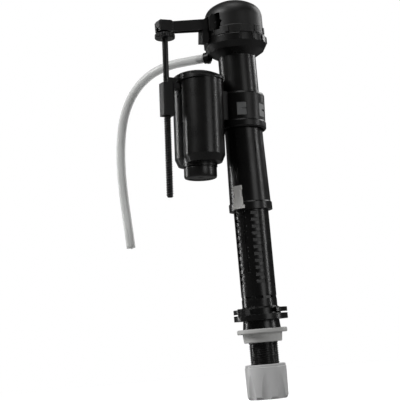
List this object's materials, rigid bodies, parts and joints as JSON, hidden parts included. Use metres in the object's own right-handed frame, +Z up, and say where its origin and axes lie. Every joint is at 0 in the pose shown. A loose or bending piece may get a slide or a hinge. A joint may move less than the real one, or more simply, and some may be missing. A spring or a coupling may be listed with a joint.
{
  "type": "toilet fill valve",
  "caption": "Toilet fill valve: threaded shank with gasket and nut, telescoping riser, capped head with a lever arm, and a float cup hung on a threaded rod.",
  "frame": {"origin": "on the riser axis where the gasket flange meets the tank floor", "axes": "+Z up the riser, the float arm points to -X, the XZ plane is the plane the arm swings in"},
  "size_m": [0.1073, 0.1129, 0.3325],
  "materials": {
    "black_body": "moulded, semi-matte",
    "black_sleeve": "moulded, satin",
    "black_cap": "moulded, fine satin",
    "black_arm": "moulded, satin",
    "black_rod": "moulded, satin",
    "black_float": "moulded, satin",
    "black_lid": "moulded, satin",
    "black_trim": "moulded",
    "gasket_rubber": "soft grey rubber",
    "seal_rubber": "black rubber",
    "nut_plastic": "moulded light grey",
    "clip_plastic": "off-white acetal",
    "bush_plastic": "grey acetal",
    "inner_plastic": "natural acetal",
    "strainer_plastic": "natural nylon",
    "clear_hose": "clear soft vinyl",
    "clip_wire": "spring steel wire"
  },
  "bodies": {
    "base": {"shank_tube": "black_body", "shank_gasket": "gasket_rubber", "inlet_strainer": "strainer_plastic"},
    "nut_washer": {"nut_washer": "nut_plastic"},
    "shank_nut": {"shank_nut": "nut_plastic"},
    "valve_body": {"riser_sleeve": "black_sleeve", "riser_pipe": "inner_plastic", "lower_pipe_ring": "seal_rubber", "upper_pipe_ring": "seal_rubber", "valve_seat": "inner_plastic", "refill_nipple": "black_trim", "refill_tube": "clear_hose", "tube_clip": "clip_wire"},
    "lock_clip": {"lock_clip": "clip_plastic"},
    "cap": {"cap": "black_cap", "cap_seal": "seal_rubber", "diaphragm_guide": "inner_plastic", "pilot_nozzle": "inner_plastic", "pivot_pin": "black_trim"},
    "diaphragm": {"diaphragm": "seal_rubber", "diaphragm_plate": "inner_plastic", "metering_pin": "inner_plastic"},
    "arm": {"float_arm": "black_arm", "pilot_pad": "seal_rubber"},
    "hanger": {"rod_swivel": "black_trim"},
    "rod": {"adjusting_rod": "black_rod", "thumbwheel": "black_arm"},
    "float": {"float_cup": "black_float", "float_plug": "black_float", "float_lid": "black_lid", "rod_nut": "black_trim", "guide_collar": "black_lid", "glide_bush": "bush_plastic"}
  },
  "joints": [
    {"name": "height_adjust", "type": "slide", "parent": "base", "child": "valve_body", "axis": [0, 0, 1], "range_m": [-0.045, 0.055]},
    {"name": "clip_pull", "type": "slide", "parent": "valve_body", "child": "lock_clip", "axis": [-0.8829, -0.4695, 0], "range_m": [0, 0.012]},
    {"name": "cap_twist", "type": "hinge", "parent": "valve_body", "child": "cap", "pos_m": [0, 0, 0.25], "axis": [0, 0, 1], "range_deg": [0, 25]},
    {"name": "float_travel", "type": "slide", "parent": "cap", "child": "hanger", "axis": [0, 0, 1], "range_m": [0, 0.01]},
    {"name": "arm_lift", "type": "hinge", "parent": "cap", "child": "arm", "pos_m": [-0.021, 0, 0.258], "axis": [0, 1, 0], "range_deg": [-1, 14]},
    {"name": "diaphragm_stroke", "type": "slide", "parent": "cap", "child": "diaphragm", "axis": [0, 0, 1], "range_m": [-0.00205, 0.0001]},
    {"name": "rod_turn", "type": "hinge", "parent": "hanger", "child": "rod", "pos_m": [-0.0658, 0, 0.25], "axis": [0.0558, 0, 0.9984], "range_deg": [-1455, 1455]},
    {"name": "float_adjust", "type": "slide", "parent": "hanger", "child": "float", "axis": [0.0558, 0, 0.9984], "range_m": [-0.008, 0.008]},
    {"name": "nut_travel", "type": "slide", "parent": "base", "child": "nut_washer", "axis": [0, 0, 1], "range_m": [-0.004, 0.0166]},
    {"name": "nut_turn", "type": "hinge", "parent": "nut_washer", "child": "shank_nut", "pos_m": [0, 0, -0.04], "axis": [0, 0, 1], "range_deg": [-720, 3240]}
  ],
  "couplings": [
    {"joint": "arm_lift", "follows": "float_travel", "rad_per_m": 22.7},
    {"joint": "diaphragm_stroke", "follows": "float_travel", "ratio": -0.2},
    {"joint": "rod_turn", "follows": "float_adjust", "rad_per_m": 3141.6},
    {"joint": "nut_travel", "follows": "nut_turn", "m_per_rad": 0.00028871}
  ]
}
